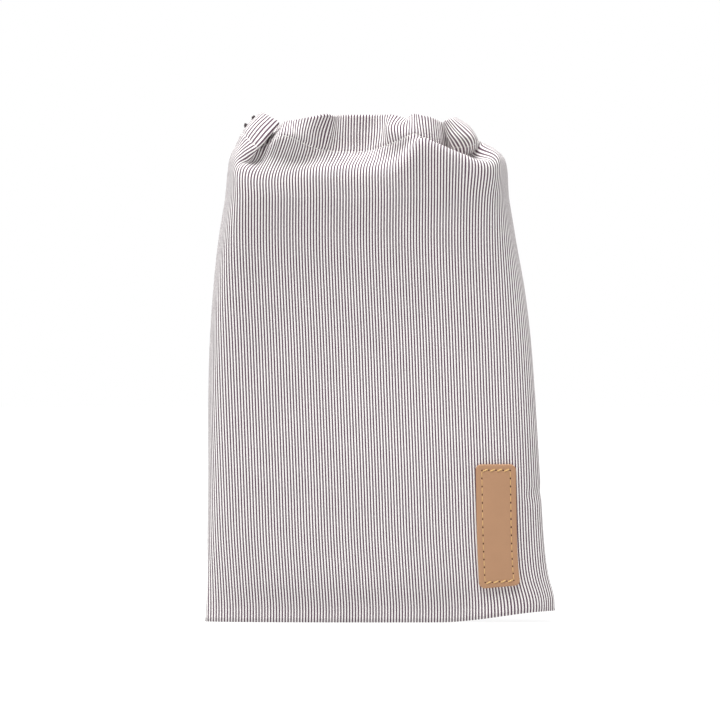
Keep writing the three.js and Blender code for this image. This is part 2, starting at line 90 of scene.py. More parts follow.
# Mouth: a row for each fold or flat of the gathered cloth, with the ears' folds closer than in the solids
MOUTH_COLUMNS = (
    "r", "crest_z", "crest_in", "sag",
    "stitch_x", "stitch_y", "stitch_z",
    "rim_x", "rim_y", "rim_z", "puff",
)
MOUTH = np.array([
    # Left ear, from the side seam over its outer fold to its lower edge
    (0, 174, 2, 0, -50.6, 0.2, 182.4, -43.2, 2.4, 190.3, 0.5),
    (5, 174, 2, 0, -51.0, -5.4, 182.6, -43.6, -3.2, 190.6, 0.5),
    (9, 174, 2, 0, -50.3, -10.5, 182.0, -42.9, -8.0, 190.2, 0.5),
    (13, 172.5, 1.6, -0.4, -47.8, -15.8, 179.4, -40.0, -12.0, 188.3, 0.5),
    (16.4, 170.5, 1.2, -0.4, -45.3, -18.2, 176.9, -37.2, -13.6, 186.4, 0.2),
    # Fold tucked in under the ear's edge
    (18.4, 169.4, 1, 0.6, -45.2, -17.0, 176.4, -38.5, -11.4, 185.6, 0),
    (20.6, 169, 0.9, 1.2, -45.9, -14.6, 176.8, -40.9, -8.6, 185.2, 0),
    (22.5, 168.2, 0.8, 1.7, -43.5, -13.0, 177.6, -39.8, -5.6, 185.0, 0),
    (24.6, 167.2, 0.7, 2, -40.4, -15.0, 178.6, -37.4, -6.2, 185.1, 0),
    (27.5, 166.2, 0.7, 2.3, -38.3, -17.7, 180.2, -35.8, -8.8, 185.9, 0),
    (30, 166, 0.7, 2.5, -36.5, -18.1, 181.1, -34.9, -11.0, 186.7, 0),
    # Front casing, leaning over on the left as far as a small pleat, then upright up to its lip
    (32.5, 166, 0.7, 2.6, -34.1, -18.1, 180.9, -33.1, -12.6, 186.9, 0),
    (37.4, 166.4, 0.8, 2.5, -30.5, -17.2, 179.5, -29.0, -14.8, 187.5, -0.4),
    (42.3, 167.4, 0.8, 2, -26.6, -15.0, 177.8, -24.0, -15.0, 188.5, -0.7),
    (47, 168.3, 0.8, 1, -22.4, -11.8, 176.4, -19.0, -12.8, 189.5, -0.8),
    (49.6, 168.6, 0.8, 0.5, -20.0, -10.2, 176.0, -17.0, -9.0, 189.2, 0.5),
    (52.4, 168.5, 0.8, 0.2, -17.2, -9.4, 175.7, -15.6, -7.4, 189.4, 0.2),
    (56, 168.5, 0.8, 0, -13.5, -8.4, 175.5, -12.8, -7.0, 189.6, 0),
    (68.3, 168.5, 0.8, 0, -1.3, -8.6, 176.4, -0.6, -6.8, 189.6, -0.5),
    (71.5, 168.6, 0.8, 0.6, 1.5, -11.8, 177.2, 2.2, -7.8, 189.6, -0.3),
    (74.8, 168.8, 0.8, 1, 4.3, -14.0, 178.2, 5.4, -9.6, 189.4, 1.9),
    (78.2, 169.6, 0.7, 1.2, 7.2, -15.8, 179.4, 9.0, -11.0, 188.2, 2.2),
    (80.6, 171, 0.5, 1, 9.2, -16.6, 180.3, 10.6, -11.4, 187.7, 1.6),
    (82.6, 173, 0.2, 0.6, 10.9, -16.8, 181.1, 11.5, -10.4, 188.6, 0.6),
    (84.6, 175.6, -0.2, 0.3, 12.7, -16.4, 181.8, 12.7, -9.2, 189.7, 0),
    # Ridge that runs down to the right shoulder, with the casing sunk behind it
    (86.6, 178.4, -0.5, 0.1, 14.8, -15.0, 181.3, 14.0, -7.6, 189.7, 0),
    (88.8, 179.6, -0.7, 0.5, 17.0, -13.2, 179.6, 16.4, -6.8, 189.2, 0),
    (91.6, 178.4, -0.8, 1.0, 19.8, -11.0, 177.2, 19.2, -6.0, 188.8, 0),
    (95, 177, -0.7, 1.2, 22.8, -9.0, 175.2, 21.6, -5.4, 187.8, 0),
    # Pinch and valley, folded in under the edge of the right ear
    (98.4, 175.5, -0.5, 1.6, 24.8, -7.0, 174.4, 23.2, -5.2, 187.0, 0),
    (100.6, 174.6, -0.1, 2.4, 26.2, -4.6, 174.5, 24.8, -3.2, 186.6, 0),
    (102.6, 173.8, 0.1, 2.6, 28.4, -5.2, 175.0, 26.0, -3.8, 186.4, 0),
    # Right ear, gathered at the pinch, from its lower edge over its outer fold to the side seam
    (104, 173.2, 0.2, 1.4, 27.9, -8.4, 175.5, 25.0, -6.6, 186.4, 0),
    (105.4, 172.5, 0.3, 1.6, 27.3, -11.2, 176.9, 24.4, -9.8, 186.6, 0.4),
    (107.4, 171.7, 0.4, 2.0, 29.4, -13.2, 177.1, 24.4, -12.2, 187.0, 1.0),
    (110.4, 171.0, 0.5, 2.2, 32.8, -13.8, 177.3, 25.4, -13.6, 187.5, 1.3),
    (113, 170.8, 0.6, 2.2, 35.0, -13.4, 178.1, 26.7, -13.2, 187.9, 1.5),
    (115, 171.4, 0.7, 1, 36.3, -12.2, 178.7, 27.4, -11.2, 188.2, 1.6),
    (117, 172.8, 0.8, 0, 36.8, -10.4, 179.7, 27.8, -8.6, 188.5, 1.4),
    (121, 173.2, 1.2, -0.8, 36.9, -5.2, 179.8, 27.9, -4.4, 188.6, 1.2),
    (127, 173.4, 1.6, -0.6, 36.4, -0.6, 179.8, 28.7, -0.8, 188.6, 1.2),
    (133, 173, 2, -0.4, 35.8, 3.6, 179.6, 29.4, 2.6, 188.4, 1.2),
    # Rear of the right ear and its valley
    (140, 170, 2, 0, 34.8, 6.4, 178.8, 29.6, 6.4, 187.4, 1),
    (145, 169.6, 2, 0, 32.4, 7.4, 178.0, 27.8, 7.2, 186.8, 0.3),
    (152, 169, 2, 0.3, 27.6, 5.6, 177.6, 24.6, 5.4, 186.4, 0),
    # Rear casing
    (162, 168.5, 2, 0.5, 20.4, 7.6, 177.4, 20.0, 7.8, 187.6, 0),
    (180, 168.5, 2, 0, 7.0, 8.8, 176.8, 6.6, 9.0, 188.8, 0),
    (201, 168.5, 2, 0, -10.4, 8.8, 176.8, -10.4, 9.0, 189.0, 0),
    (222, 168.5, 2, 0.5, -27.6, 8.0, 177.6, -27.0, 8.0, 187.8, 0),
    # Rear of the left ear and its valley
    (236, 169, 2, 0.5, -38.2, 5.4, 178.2, -36.6, 5.4, 186.0, 0),
    (244, 170, 2, 0, -43.4, 6.4, 178.4, -39.8, 8.4, 186.0, 0.3),
    (252, 171.5, 2, 0, -47.6, 6.6, 179.8, -42.6, 9.6, 187.2, 0.5),
    (260, 173, 2, 0, -50.6, 4.8, 182.0, -44.6, 8.2, 189.0, 0.5),
])

# Soft creases: each runs from one place on the cloth to another and leans it out or in, level, by its push
# A row holds r and v of its start, r and v of its end, its width and its push
CREASES = np.array([
    # Casing on the left of the ridge
    (73, 187.5, 83, 188, 6.5, 1.8),
    # Casing beside the left ear, and the foot of its small pleat
    (35, 190, 42, 190, 8.0, 2.0),
    (49, 183, 58, 183, 5.0, 0.8),
    # Front edge of the ridge, the hollow behind it and the casing of the right ear
    (86, 170.5, 110, 169, 9.0, 2.6),
    (99, 179, 114, 179, 3.6, -4.4),
    (104, 188.5, 112, 188.5, 3.6, 1.6),
    # Base's lifted corner, which flares to the front, and a short crease at the right seam
    (110, 0, 122, 2, 10.0, 2.5),
    (125, 47.6, 133, 49, 2.0, -0.4),
])

# Dips of the sewn lines
STITCH_DIP = 0.35
STITCH_DIP_WIDTH = 0.9
SEAM_DIP = 0.35
SEAM_DIP_WIDTH = 0.7

# Mesh steps of the cloth: along the ring, as spans of even steps, and up it
FRONT_SPANS = ((0, 30, 0.5), (30, 84, 0.8), (84, 133, 0.5))
BACK_SPANS = ((133, 160, 0.6), (160, 230, 1.2), (230, 266, 0.6))
BASE_ROWS = 7
WALL_STEP = 1.9
MOUTH_STEP = 0.55
RIM_ROWS = 5
HEM_STEP = 1.5

# Short steps over which directions along and out of the cloth are taken
RING_STEP = 0.5
NORMAL_STEP = 0.2

# Even grid of the cloth's middle, for the pieces that lie on it, with a margin past both ends of the ring
MAP_STEP = 0.5
MAP_MARGIN = 3

# Stripes and weave: pitches, how soft a stripe's edge is and how far the crossings fray it
STRIPE_PITCH = 1.0925
YARN_PITCH = STRIPE_PITCH / 4
WEFT_PITCH = 0.36
STRIPE_EDGE = 0.25
STRIPE_FRAY = 0.35

# Length of cloth that fills the texture's height, and how much of it lies below the sewn edge
UV_LENGTH = 240
UV_BELOW = 15

# Noise of uneven tones, and pores of the leather
TONE_DETAIL = 3.0
TONE_MIDDLE = 0.5
PORE_SIZE = 0.5

# Colours
DARK_YARN = (0.123, 0.071, 0.103, 1)
LIGHT_YARN = (0.96, 0.945, 0.92, 1)
LEATHER_TAN = (0.47, 0.26, 0.145, 1)
# Painted shade of the shadowed insides of the needle holes
HOLE_PAINTED_SHADE = (0.03, 0.013, 0.008, 1)
THREAD_WHITE = (0.88, 0.86, 0.84, 1)
THREAD_GOLD = (0.70, 0.45, 0.18, 1)
CORD_DARK = (0.055, 0.04, 0.045, 1)
FLOOR_GREY = (0.13, 0.13, 0.13, 1)
WHITE = (1, 1, 1, 1)

# Threads: sides of their round section, and a direction that none of them runs along
THREAD_SIDES = 8
THREAD_ASKEW = (0.3, 0.5, 0.81)

# Stitches: points along each, the share of its section that is left at its tips, and how late it thins
STITCH_POINTS = 7
STITCH_TIP = 0.04
STITCH_TAPER = 4

# Stitches of the casing, standing out of the cloth by a share of their radius
CASING_STITCH_LENGTH = 2.3
CASING_STITCH_GAP = 0.5
CASING_THREAD = 0.14
CASING_PROUD = 0.4

# Leather label, sewn almost along the stripes
LABEL_R = 111.9
LABEL_V = 35.7
LABEL_LEAN = 0.8
LABEL_WIDTH = 14.9
LABEL_HEIGHT = 46.9
LABEL_CORNER = 2.2
LABEL_UNDER = 0.55
LABEL_TOP = 1.8
LABEL_EDGE = 0.45
LABEL_CORNER_POINTS = 12
LABEL_SIDE_POINTS = 90
LABEL_ACROSS_POINTS = 41

# Groove that the label's thread is sewn in, its needle holes and its stitches
LABEL_GROOVE = 0.12
LABEL_GROOVE_WIDTH = 0.5
LABEL_GROOVE_TOP = LABEL_TOP - LABEL_GROOVE
LABEL_STITCH_INSET = 2.2
LABEL_STITCH_X = LABEL_WIDTH / 2 - LABEL_STITCH_INSET
LABEL_STITCH_UP = LABEL_HEIGHT / 2 - LABEL_STITCH_INSET
LABEL_SIDE_HOLES = 15
LABEL_END_HOLES = 5
HOLE_RADIUS = 0.3
HOLE_SIDES = 10
HOLE_PROUD = 0.03
HOLE_DEPTH = 0.5
LABEL_SIDE_STITCH = 2.3
LABEL_SIDE_THREAD = 0.14
LABEL_SIDE_PROUD = 0.02
LABEL_END_STITCH = 2.0
LABEL_END_SLANT = 0.9
LABEL_END_THREAD = 0.26
LABEL_END_PROUD = 0.1

# Drawstring end, a short bend of cord behind the left ear's outer fold
CORD_RADIUS = 0.8
CORD_PLIES = 3
CORD_WIND = 0.36
CORD_TWIST = 4
CORD_CLEAR = 1.9
CORD_POINTS = 60
CORD_ASKEW = (0.2, 0.9, 0.3)
CORD_TOP_V = 196.4
CORD_BOTTOM_V = 190.8
CORD_TIP_R = RING - 5
CORD_BEND_R = RING - 12.5

# Numbers of the mix node's sockets for colours
MIX_FACTOR = 0
MIX_FIRST = 6
MIX_SECOND = 7
MIX_RESULT = 2

# Camera, level with the middle of the picture
PIXEL = 0.375
PICTURE = 720
CAMERA_X = -7.1
CAMERA_Z = 98
CAMERA_AWAY = 1800
SENSOR = 36

# Light
ROOM_LIGHT = 0.38
SOFTBOX_LIGHT = 5.0
SOFTBOX_ANGLE = 45
SOFTBOX_TURN = (14, 0, -40)
FLOOR_GLOW = 0.84
FLOOR_REACH = 8000
FILL_LIGHT = 7
FILL_FROM = (860, -1230, 104)
FILL_REACH = 66


# Slopes of a smooth curve at its knots, along the last axis of both
def slopes(knots, values):
    spans = np.diff(knots, axis=-1)
    rises = np.diff(values, axis=-1) / spans
    before = spans[..., :-1]
    after = spans[..., 1:]
    inner = (rises[..., :-1] * after + rises[..., 1:] * before) / (after + before)
    return np.concatenate([rises[..., :1], inner, rises[..., -1:]], axis=-1)


# Point of a smooth curve at a share q of the span between two knots
def between(start, end, leave, arrive, span, q):
    rise = q * q * (3 - 2 * q)
    away = leave * q * (1 - q) ** 2 * span
    onto = arrive * q * q * (q - 1) * span
    return start + (end - start) * rise + away + onto


# Smooth curve through values at knots
def smooth(knots, values, at):
    tangents = slopes(knots, values)
    i = np.clip(np.searchsorted(knots, at) - 1, 0, len(knots) - 2)
    span = knots[i + 1] - knots[i]
    return between(values[i], values[i + 1], tangents[i], tangents[i + 1], span, (at - knots[i]) / span)


def smoothstep(value, low, high):
    q = np.clip((value - low) / (high - low), 0, 1)
    return q * q * (3 - 2 * q)


def unit(vectors):
    return vectors / np.linalg.norm(vectors, axis=-1, keepdims=True)


def level(column, z):
    return smooth(LEVELS[:, 0], LEVELS[:, LEVEL_COLUMNS.index(column)], z)


# The mouth is a ring, so its rows carry on past both ends
RING_ROWS = np.vstack([MOUTH + shift * (np.arange(len(MOUTH_COLUMNS)) == 0) for shift in (-RING, 0, RING)])


def mouth(column, r):
    return smooth(RING_ROWS[:, 0], RING_ROWS[:, MOUTH_COLUMNS.index(column)], r)


def mouth_point(name, r):
    return np.stack([mouth(f"{name}_{axis}", r) for axis in "xyz"], axis=-1)


# Half section of the body from seam to seam, as deep as the cloth's width allows
@lru_cache(maxsize=None)
def section(z):
    left, right = level("left", z), level("right", z)
    across = np.sin(np.linspace(-0.5, 0.5, SECTION_STEPS + 1) * math.pi)
    corner = np.where(across < 0, level("corner_left", z), level("corner_right", z))
    x = (left + right) / 2 + (right - left) / 2 * across
    bulge = np.sqrt(np.maximum(0, 1 - np.abs(across) ** corner))
    low, high = 0.0, float(DEEPEST)
    for _ in range(HALVINGS):
        depth = (low + high) / 2
        length = np.hypot(np.diff(x), depth * np.diff(bulge))
        if length.sum() < PANEL_WIDTH:
            low = depth
        else:
            high = depth
    return x, depth * bulge, np.concatenate([[0], np.cumsum(length)])


# Point of the body's wall at a height, without the base's lift
def wall(r, z):
    x, y, length = section(z)
    ring = np.mod(r, RING)
    front = ring <= PANEL_WIDTH
    along = np.where(front, ring, RING - ring) / PANEL_WIDTH * length[-1]
    side = np.where(front, -1, 1)
    heights = np.full(ring.shape, float(z))
    return np.stack([np.interp(along, length, x), side * np.interp(along, length, y), heights], -1)


def lift(x):
    return LIFT * smoothstep(x, LIFT_FROM_X, LIFT_TO_X)


# Points that each stripe of cloth passes on its way from the wall over the shoulder to the rim
def mouth_columns(r):
    shoulder = wall(r, SHOULDER_V)
    along = wall(r + RING_STEP, SHOULDER_V) - wall(r - RING_STEP, SHOULDER_V)
    inward = unit(np.stack([-along[:, 1], along[:, 0], np.zeros(len(r))], -1))
    crest = shoulder + inward * mouth("crest_in", r)[:, None]
    crest[:, 2] = mouth("crest_z", r)
    stitch = mouth_point("stitch", r)
    rim = mouth_point("rim", r)
    rise = stitch - crest
    deep = np.sum(rise * inward, axis=-1)
    tall = rise[:, 2]
    sink = unit(inward * tall[:, None] - np.array([0, 0, 1]) * deep[:, None])
    dip = (crest + stitch) / 2 + sink * mouth("sag", r)[:, None]
    stitch_along = mouth_point("stitch", r + RING_STEP) - mouth_point("stitch", r - RING_STEP)
    swell = unit(np.cross(stitch_along, rim - stitch))
    casing = (stitch + rim) / 2 + swell * mouth("puff", r)[:, None]
    return np.stack([wall(r, WALL_V), shoulder, crest, dip, stitch, casing, rim], -1)


# Middle of the cloth, as a grid with a row for each v and a column for each r
def surface(r, v):
    points = mouth_columns(r)
    steps = np.sqrt(np.linalg.norm(np.diff(points, axis=-1), axis=1))
    knots = np.concatenate([np.zeros((len(r), 1)), np.cumsum(steps, axis=-1)], axis=-1)[:, None, :]
    tangents = slopes(np.broadcast_to(knots, points.shape), points)
    rows = []
    for height in v:
        if height <= SHOULDER_V:
            row = wall(r, height)
            row[:, 2] += lift(row[:, 0]) * (1 - smoothstep(height, 0, LIFT_FADE))
        else:
            i = int(np.clip(np.searchsorted(MOUTH_KNOTS, height) - 1, 1, len(MOUTH_KNOTS) - 2))
            q = (height - MOUTH_KNOTS[i]) / (MOUTH_KNOTS[i + 1] - MOUTH_KNOTS[i])
            span = knots[:, :, i + 1] - knots[:, :, i]
            start, end = points[..., i], points[..., i + 1]
            row = between(start, end, tangents[..., i], tangents[..., i + 1], span, q)
        rows.append(row)
    return np.array(rows)


# How far the soft creases push the cloth, as level steps out of the body
def creased(r, v):
    push = np.zeros(np.broadcast_shapes(r.shape, v.shape))
    for r_from, v_from, r_to, v_to, width, rise in CREASES:
        run = np.array([r_to - r_from, v_to - v_from])
        length = np.linalg.norm(run)
        along = ((r - r_from) * run[0] + (v - v_from) * run[1]) / length
        aside = ((v - v_from) * run[0] - (r - r_from) * run[1]) / length
        past = np.maximum(np.maximum(-along, along - length), 0)
        push += rise * np.exp(-((aside / width) ** 2) - (past / width) ** 2)
    flat = np.broadcast_to(r, push.shape)
    span = wall(flat + RING_STEP, SHOULDER_V) - wall(flat - RING_STEP, SHOULDER_V)
    level_out = unit(np.stack([span[..., 1], -span[..., 0], np.zeros(push.shape)], -1))
    return level_out * push[..., None]


# How far the sewn lines draw the cloth in
def drawn_in(r, v):
    seam = np.abs(np.mod(r + PANEL_WIDTH / 2, PANEL_WIDTH) - PANEL_WIDTH / 2)
    seam_dip = SEAM_DIP * np.exp(-((seam / SEAM_DIP_WIDTH) ** 2))
    return seam_dip + STITCH_DIP * np.exp(-(((v - STITCH_V) / STITCH_DIP_WIDTH) ** 2))


# Direction out of the cloth
def outward(r, v):
    across = surface(r + NORMAL_STEP, v) - surface(r - NORMAL_STEP, v)
    up = surface(r, np.minimum(v + NORMAL_STEP, RIM_V)) - surface(r, np.maximum(v - NORMAL_STEP, 0))
    return unit(np.cross(across, up))


# The cloth's middle and its outward directions, worked out once on an even grid
MAP_R = np.arange(-MAP_MARGIN, RING + MAP_MARGIN + MAP_STEP, MAP_STEP)
MAP_V = np.arange(0, RIM_V + MAP_STEP / 2, MAP_STEP)
MAP_POINTS = surface(MAP_R, MAP_V)
MAP_OUT = outward(MAP_R, MAP_V)


# Points at a height above the cloth's middle, for places that need not lie on a grid
def on_cloth(r, v, height):
    column = (r - MAP_R[0]) / MAP_STEP
    row = v / MAP_STEP
    i = np.clip(np.floor(column).astype(int), 0, len(MAP_R) - 2)
    j = np.clip(np.floor(row).astype(int), 0, len(MAP_V) - 2)
    p = (column - i)[..., None]
    q = (row - j)[..., None]

    def sample(grid):
        below = grid[j, i] * (1 - p) + grid[j, i + 1] * p
        above = grid[j + 1, i] * (1 - p) + grid[j + 1, i + 1] * p
        return below * (1 - q) + above * q

    above = height - drawn_in(r, v)
    return sample(MAP_POINTS) + unit(sample(MAP_OUT)) * above[..., None] + creased(r, v)


# Steps from start to end that are close to the asked length
def even_steps(start, end, step):
    return np.linspace(start, end, max(1, math.ceil((end - start) / step)) + 1)


def ring_places(spans):
    places = np.concatenate([even_steps(*span)[:-1] for span in spans])
    return np.append(places, spans[-1][1])


# Mesh piece from points in millimetres, faces as point numbers, and a place on the cloth for each point
def add_piece(name, points, faces, material, cloth_places=None):
    mesh = bpy.data.meshes.new(name)
    mesh.from_pydata((np.asarray(points) * MM).tolist(), [], [list(map(int, face)) for face in faces])
    mesh.validate()
    mesh.shade_smooth()
    if cloth_places is not None:
        corners = np.empty(len(mesh.loops), int)
        mesh.loops.foreach_get("vertex_index", corners)
        layer = mesh.uv_layers.new(name="cloth")
        layer.data.foreach_set("uv", np.asarray(cloth_places)[corners].astype(np.float32).ravel())
    mesh.materials.append(material)
    piece = bpy.data.objects.new(name, mesh)
    bpy.context.scene.collection.objects.link(piece)
    return piece


def grid_faces(rows, columns, first=0):
    number = first + np.arange(rows * columns).reshape(rows, columns)
    return np.stack([number[:-1, :-1], number[:-1, 1:], number[1:, 1:], number[1:, :-1]], -1).reshape(-1, 4)


# Closed body between two grids that face each other
def shell_faces(rows, columns):
    behind = rows * columns
    number = np.arange(behind).reshape(rows, columns)
    edge = np.concatenate([number[0, :-1], number[:-1, -1], number[-1, :0:-1], number[:0:-1, 0]])
    after = np.roll(edge, -1)
    sides = np.stack([after, edge, edge + behind, after + behind], -1)
    return np.concatenate([grid_faces(rows, columns), grid_faces(rows, columns, behind)[:, ::-1], sides])


def node(tree, kind, inputs=None, **settings):
    made = tree.nodes.new("ShaderNode" + kind)
    for name, value in settings.items():
        setattr(made, name, value)
    for name, value in (inputs or {}).items():
        if isinstance(value, bpy.types.NodeSocket):
            tree.links.new(value, made.inputs[name])
        else:
            made.inputs[name].default_value = value
    return made


def math_node(tree, operation, *values):
    return node(tree, "Math", dict(enumerate(values)), operation=operation).outputs[0]


# A mix's sockets for colours go by number, because they share their names with those for plain values
def mix_colour(tree, factor, first, second, blend="MIX"):
    inputs = {MIX_FACTOR: factor, MIX_FIRST: first, MIX_SECOND: second}
    return node(tree, "Mix", inputs, data_type="RGBA", blend_type=blend).outputs[MIX_RESULT]


def new_group(name, inputs, outputs):
    group = bpy.data.node_groups.new(name, "ShaderNodeTree")
    for label, kind, value in inputs:
        socket = group.interface.new_socket(label, in_out="INPUT", socket_type="NodeSocket" + kind)
        if value is not None:
            socket.default_value = value
    for label, kind in outputs:
        group.interface.new_socket(label, in_out="OUTPUT", socket_type="NodeSocket" + kind)
    return group, group.nodes.new("NodeGroupInput").outputs, group.nodes.new("NodeGroupOutput").inputs


def place_group(tree, group, inputs):
    return node(tree, "Group", inputs, node_tree=group).outputs


def new_material(name):
    material = bpy.data.materials.new(name)
    material.use_nodes = True
    return material, material.node_tree, material.node_tree.nodes["Principled BSDF"]


# Uneven tone of dyed and worn surfaces: a value about one
def uneven_tone_group():
    group, entry, leave = new_group(
        "uneven tone",
        [("Place", "Vector", None), ("Size", "Float", None), ("Amount", "Float", None)],
        [("Tone", "Float")],
    )
    scale = math_node(group, "DIVIDE", 1 / MM, entry["Size"])
    cloud = node(group, "TexNoise", {"Vector": entry["Place"], "Scale": scale, "Detail": TONE_DETAIL})
    swing = math_node(group, "SUBTRACT", cloud.outputs[0], TONE_MIDDLE)
    tone = math_node(group, "MULTIPLY_ADD", swing, entry["Amount"], 1.0)
    group.links.new(tone, leave["Tone"])
    return group


# Woven stripes: dark and light warp yarns crossed by light weft, with the height of each crossing
def striped_weave_group():
    group, entry, leave = new_group(
        "striped weave",
        [
            ("Across", "Float", None),
            ("Along", "Float", None),
            ("Stripe Pitch", "Float", STRIPE_PITCH),
            ("Yarn Pitch", "Float", YARN_PITCH),
            ("Weft Pitch", "Float", WEFT_PITCH),
            ("Dark", "Color", None),
            ("Light", "Color", None),
        ],
        [("Colour", "Color"), ("Height", "Float")],
    )

    def wave(place, pitch, turn):
        count = math_node(group, "DIVIDE", place, pitch)
        return math_node(group, "SINE", math_node(group, "MULTIPLY", count, turn))

    # Half a turn for a yarn, so that the next one lies the other way, and a whole turn for a stripe
    warp = wave(entry["Across"], entry["Yarn Pitch"], math.pi)
    weft = wave(entry["Along"], entry["Weft Pitch"], math.pi)
    crossing = math_node(group, "MULTIPLY", warp, weft)
    stripe = wave(entry["Across"], entry["Stripe Pitch"], 2 * math.pi)
    frayed = math_node(group, "MULTIPLY_ADD", crossing, STRIPE_FRAY, stripe)
    edge = {"Value": frayed, "From Min": -STRIPE_EDGE, "From Max": STRIPE_EDGE}
    light = node(group, "MapRange", edge, interpolation_type="SMOOTHSTEP").outputs[0]
    group.links.new(mix_colour(group, light, entry["Dark"], entry["Light"]), leave["Colour"])
    group.links.new(crossing, leave["Height"])
    return group


UNEVEN_TONE = uneven_tone_group()
STRIPED_WEAVE = striped_weave_group()


def toned(tree, colour, size, amount):
    place = node(tree, "TexCoord").outputs["Object"]
    tone = place_group(tree, UNEVEN_TONE, {"Place": place, "Size": size, "Amount": amount})["Tone"]
    grey = node(tree, "CombineColor", dict.fromkeys(("Red", "Green", "Blue"), tone)).outputs[0]
    return mix_colour(tree, 1.0, colour, grey, "MULTIPLY")


def striped_cotton():
    material, tree, shader = new_material("striped_cotton")
    place = node(tree, "SeparateXYZ", {0: node(tree, "UVMap", uv_map="cloth").outputs[0]}).outputs
    weave = place_group(tree, STRIPED_WEAVE, {
        "Across": math_node(tree, "MULTIPLY", place[0], float(RING)),
        "Along": math_node(tree, "MULTIPLY", place[1], float(UV_LENGTH)),
        "Dark": DARK_YARN,
        "Light": LIGHT_YARN,
    })
    tree.links.new(toned(tree, weave["Colour"], size=9.0, amount=0.12), shader.inputs["Base Color"])
    bump = node(tree, "Bump", {"Height": weave["Height"], "Strength": 0.35, "Distance": 0.1 * MM})
    tree.links.new(bump.outputs[0], shader.inputs["Normal"])
    shader.inputs["Roughness"].default_value = 0.9
    shader.inputs["Specular IOR Level"].default_value = 0.2
    shader.inputs["Sheen Weight"].default_value = 0.12
    shader.inputs["Sheen Roughness"].default_value = 0.5
    return material


def tan_leather():
    material, tree, shader = new_material("tan_leather")
    tree.links.new(toned(tree, LEATHER_TAN, size=6.0, amount=0.1), shader.inputs["Base Color"])
    place = node(tree, "TexCoord").outputs["Object"]
    pores = node(tree, "TexVoronoi", {"Vector": place, "Scale": 1 / (PORE_SIZE * MM)})
    grain = {"Height": pores.outputs["Distance"], "Strength": 0.25, "Distance": 0.08 * MM}
    bump = node(tree, "Bump", grain)
    tree.links.new(bump.outputs[0], shader.inputs["Normal"])
    shader.inputs["Roughness"].default_value = 0.55
    shader.inputs["Specular IOR Level"].default_value = 0.35
    return material


def plain_thread(name, colour):
    material, tree, shader = new_material(name)
    tree.links.new(toned(tree, colour, size=0.6, amount=0.35), shader.inputs["Base Color"])
    shader.inputs["Roughness"].default_value = 0.75
    shader.inputs["Sheen Weight"].default_value = 0.2
    return material


# Painted shade: the shadowed inside of a needle hole, given as a near-black colour
def hole_shade_material():
    material, tree, shader = new_material("needle_hole_painted_shade")
    tree.links.new(toned(tree, HOLE_PAINTED_SHADE, size=0.4, amount=0.3), shader.inputs["Base Color"])
    shader.inputs["Roughness"].default_value = 1
    shader.inputs["Specular IOR Level"].default_value = 0
    return material


def pale_floor():
    material, tree, shader = new_material("pale_floor")
    tree.links.new(toned(tree, FLOOR_GREY, size=900.0, amount=0.02), shader.inputs["Base Color"])
    shader.inputs["Roughness"].default_value = 0.9
    shader.inputs["Emission Color"].default_value = WHITE
    shader.inputs["Emission Strength"].default_value = FLOOR_GLOW
    return material


# Rows of one panel's sheet: the points of its middle layer, and how far along the cloth they lie
def panel_rows(r, side):
    # Body, from the sewn edge up to the start of the rim's roll
    rim_v = RIM_V - (HEM_ROLL + CLOTH_THICK) / 2
    wall_heights = even_steps(0, SHOULDER_V, WALL_STEP)
    heights = np.concatenate([wall_heights[:-1], even_steps(SHOULDER_V, rim_v, MOUTH_STEP)])
    out = CLOTH_FACE - CLOTH_THICK / 2
    normal = outward(r, heights)
    body = surface(r, heights) + normal * (out - drawn_in(r, heights[:, None]))[..., None]
    body[0] = surface(r, heights[:1])[0] + unit(normal[0] * (1, 1, 0)) * out
    body += creased(r, heights[:, None])
    body[0, :, 2] = lift(body[0, :, 0]) + CLOTH_THICK / 2
    wall_rows = heights <= SHOULDER_V
    body[wall_rows, :, 1] = side * np.maximum(side * body[wall_rows, :, 1], SEAM_GAP / 2)

    # Base, from the bottom seam out to the sewn edge
    edge_y = body[0, :, 1]
    shares = np.linspace(0, 1, BASE_ROWS + 1)[:-1]
    base = np.repeat(body[:1], BASE_ROWS, axis=0)
    base[:, :, 1] = side * SEAM_GAP / 2 + shares[:, None] * (edge_y - side * SEAM_GAP / 2)

    # Rim's roll, and the hem that comes down inside it
    rim_rows = surface(r, np.array([rim_v, RIM_V]))
    up = unit(rim_rows[1] - rim_rows[0])
    turns = np.linspace(0, math.pi, RIM_ROWS + 2)[1:-1, None, None]
    rim = body[-1] + (up * np.sin(turns) - normal[-1] * (1 - np.cos(turns))) * HEM_ROLL / 2
    hem_heights = even_steps(rim_v - HEM_DEPTH, rim_v, HEM_STEP)[::-1]
    hem_in = out - HEM_ROLL - drawn_in(r, hem_heights[:, None])
    hem = surface(r, hem_heights) + outward(r, hem_heights) * hem_in[..., None]
    hem += creased(r, hem_heights[:, None])

    # Lengths along the cloth, from below zero on the base to past the rim on the hem
    base_along = -np.abs(edge_y) * (1 - shares[:, None])
    rim_along = rim_v + np.linspace(0, HEM_ROLL, RIM_ROWS + 2)[1:-1]
    hem_along = 2 * rim_v + HEM_ROLL - hem_heights
    upper_along = np.concatenate([heights, rim_along, hem_along])[:, None]
    along = np.concatenate([base_along, np.repeat(upper_along, len(r), axis=1)])
    return np.concatenate([base, body, rim, hem]), along


# Directions out of a grid of points
def grid_normals(points):
    return unit(np.cross(np.gradient(points, axis=1), np.gradient(points, axis=0)))


def cloth_panel(name, spans, side, material):
    r = ring_places(spans)
    r[0] += SEAM_GAP / 2
    r[-1] -= SEAM_GAP / 2
    middle, along = panel_rows(r, side)
    out = grid_normals(middle) * CLOTH_THICK / 2
    points = np.concatenate([(middle + out).reshape(-1, 3), (middle - out).reshape(-1, 3)])
    across = np.broadcast_to(r / RING, along.shape)
    places = np.stack([across, (along + UV_BELOW) / UV_LENGTH], -1).reshape(-1, 2)
    return add_piece(name, points, shell_faces(*along.shape), material, np.concatenate([places, places]))


